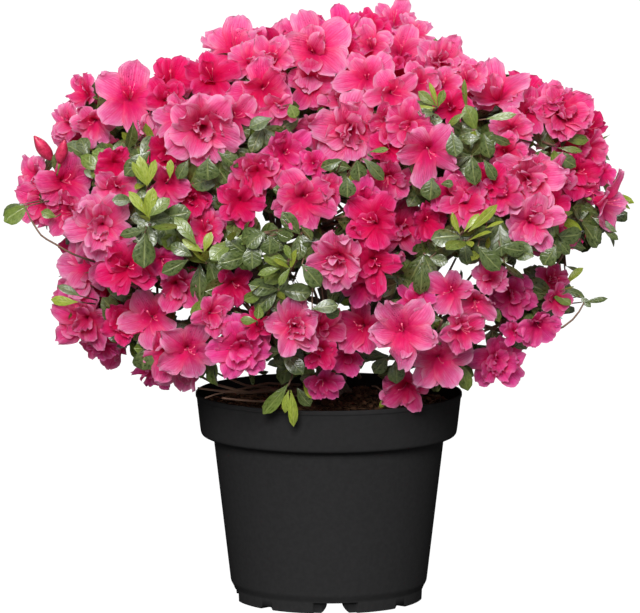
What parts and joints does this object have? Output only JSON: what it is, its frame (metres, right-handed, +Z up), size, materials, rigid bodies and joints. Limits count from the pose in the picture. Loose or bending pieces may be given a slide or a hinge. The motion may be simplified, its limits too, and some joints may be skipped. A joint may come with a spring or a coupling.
{
  "type": "potted azalea shrub",
  "caption": "Double-flowered azalea shrub in a round nursery pot: a short trunk, forking boughs and a wide, low dome of blossom and leaves that hangs over the pot's rim.",
  "frame": {"origin": "middle of the pot's flat underside, on the pot's axis", "axes": "+Z up along the pot's axis, -Y to the front that the picture shows, +X to the viewer's right"},
  "size_m": [0.5522, 0.5058, 0.5254],
  "materials": {
    "pot_plastic": "black moulded plastic, semi-matt",
    "potting_soil": "fibrous brown potting mix",
    "bark": "thin grey-brown bark",
    "blossom": "hot pink petals",
    "leaf": "dark green leaves with a soft gloss"
  },
  "bodies": {
    "root": {"pot": "pot_plastic", "soil": "potting_soil", "trunk": "bark", "bough_shoulder_1": "bark", "bough_shoulder_2": "bark", "bough_shoulder_3": "bark", "bough_shoulder_4": "bark", "bough_shoulder_5": "bark", "bough_shoulder_6": "bark", "bough_shoulder_7": "bark", "bough_shoulder_8": "bark", "bough_crest_1": "bark", "bough_crest_2": "bark", "bough_upper_1": "bark", "bough_upper_2": "bark", "bough_upper_3": "bark", "bough_upper_4": "bark", "bough_upper_5": "bark", "bough_upper_6": "bark", "bough_skirt_1": "bark", "bough_skirt_2": "bark", "bough_skirt_3": "bark", "bough_skirt_4": "bark", "bough_skirt_5": "bark", "bough_skirt_6": "bark", "bough_skirt_7": "bark", "bough_skirt_8": "bark", "mass_shoulder_1": "blossom", "mass_shoulder_2": "blossom", "mass_shoulder_3": "blossom", "mass_shoulder_4": "blossom", "mass_shoulder_5": "blossom", "mass_shoulder_6": "blossom", "mass_shoulder_7": "blossom", "mass_shoulder_8": "blossom", "mass_upper_1": "blossom", "mass_upper_2": "blossom", "mass_upper_3": "blossom", "mass_upper_4": "blossom", "mass_upper_5": "blossom", "mass_upper_6": "blossom", "mass_crest_1": "blossom", "mass_crest_2": "blossom", "mass_skirt_1": "blossom", "mass_skirt_2": "blossom", "mass_skirt_3": "blossom", "mass_skirt_4": "blossom", "mass_skirt_5": "blossom", "mass_skirt_6": "blossom", "mass_skirt_7": "blossom", "mass_skirt_8": "blossom"}
  },
  "joints": []
}
